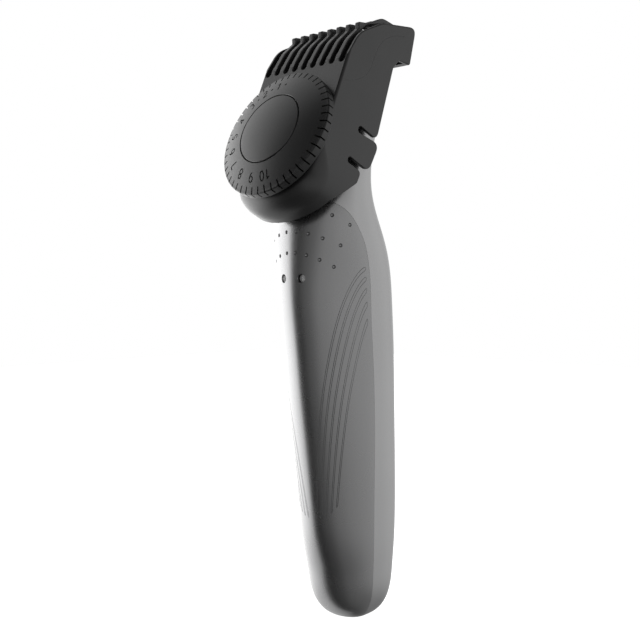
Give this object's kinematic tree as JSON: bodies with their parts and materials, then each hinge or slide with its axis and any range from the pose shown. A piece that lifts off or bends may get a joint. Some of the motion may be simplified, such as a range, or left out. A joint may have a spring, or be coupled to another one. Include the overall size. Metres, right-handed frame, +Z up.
{
  "type": "beard trimmer",
  "caption": "Handheld beard trimmer: tapered handle, tilted blade head, pull-off comb hood raised by a numbered dial with a rack and pinion, motor-driven cutter, power button.",
  "frame": {"origin": "on the small flat at the handle's lower end, in the plane of symmetry, at the rear shell's side of the seam", "axes": "+Z up along the handle towards the head, -Y to the front where the dial is, +X to the trimmer's own left side"},
  "size_m": [0.0426, 0.0584, 0.1987],
  "materials": {
    "satin_grey": "satin metallic grey paint on plastic",
    "light_grey": "satin light metallic grey paint on plastic",
    "black_matte": "matte black moulded plastic",
    "dark_plastic": "dark moulded plastic",
    "white_plastic": "natural acetal",
    "rubber": "matte black rubber",
    "steel": "fine ground stainless steel",
    "brass": "bright contact brass",
    "board_green": "solder mask on glass laminate",
    "cell_sleeve": "shrink sleeve",
    "lens_clear": "polished light pipe"
  },
  "bodies": {
    "handle": {"front_shell": "satin_grey", "rear_shell": "light_grey", "blade_frame": "black_matte", "charging_socket": "dark_plastic", "neck_cap": "dark_plastic", "lever_bracket": "dark_plastic", "button_switch": "dark_plastic", "chassis": "white_plastic", "neck_seal": "rubber", "button_seal": "rubber", "motor_can": "steel", "lever_pivot_pin": "steel", "guard_plate": "steel", "blade_spring": "steel", "battery_tab_top": "steel", "battery_tab_bottom": "steel", "chassis_screw_1": "steel", "chassis_screw_2": "steel", "chassis_screw_3": "steel", "chassis_screw_4": "steel", "socket_pin_1": "brass", "socket_pin_2": "brass", "circuit_board": "board_green", "indicator_board": "board_green", "battery_cell": "cell_sleeve", "indicator_lens_left": "lens_clear", "indicator_lens_right": "lens_clear"},
    "motor_rotor": {"motor_shaft": "steel", "eccentric_cam": "white_plastic"},
    "drive_lever": {"drive_lever": "white_plastic"},
    "cutter": {"cutter_plate": "steel", "cutter_carrier": "white_plastic"},
    "power_button": {"power_button": "satin_grey"},
    "comb_base": {"comb_carrier": "dark_plastic"},
    "comb_hood": {"comb_hood": "black_matte", "detent_spring": "steel"},
    "comb_dial": {"dial_wheel": "black_matte", "dial_cap": "black_matte", "dial_pinion": "white_plastic", "dial_screw": "steel"}
  },
  "joints": [
    {"name": "comb_pull_off", "type": "slide", "parent": "handle", "child": "comb_base", "axis": [0, 0.3987, 0.9171], "range_m": [0, 0.04]},
    {"name": "comb_height", "type": "slide", "parent": "comb_base", "child": "comb_hood", "axis": [0, 0.3987, 0.9171], "range_m": [0, 0.0095]},
    {"name": "dial_turn", "type": "hinge", "parent": "comb_hood", "child": "comb_dial", "pos_m": [0, -0.039, 0.16], "axis": [0, 0.9171, -0.3987], "range_deg": [0, 190.2]},
    {"name": "motor_spin", "type": "hinge", "parent": "handle", "child": "motor_rotor", "pos_m": [0, -0.01, 0.11], "axis": [0, 0, 1], "continuous": true},
    {"name": "lever_swing", "type": "hinge", "parent": "handle", "child": "drive_lever", "pos_m": [0, -0.01, 0.14], "axis": [0, 1, 0], "range_deg": [-1.3, 1.3]},
    {"name": "cutter_slide", "type": "slide", "parent": "handle", "child": "cutter", "axis": [1, 0, 0], "range_m": [-0.0011, 0.0011]},
    {"name": "power_button_press", "type": "slide", "parent": "handle", "child": "power_button", "axis": [0, -1, 0], "range_m": [0, 0.0005], "stiffness_N_per_m": 600}
  ],
  "couplings": [
    {"joint": "dial_turn", "follows": "comb_height", "rad_per_m": 349.07},
    {"joint": "lever_swing", "follows": "cutter_slide", "rad_per_m": 20}
  ]
}
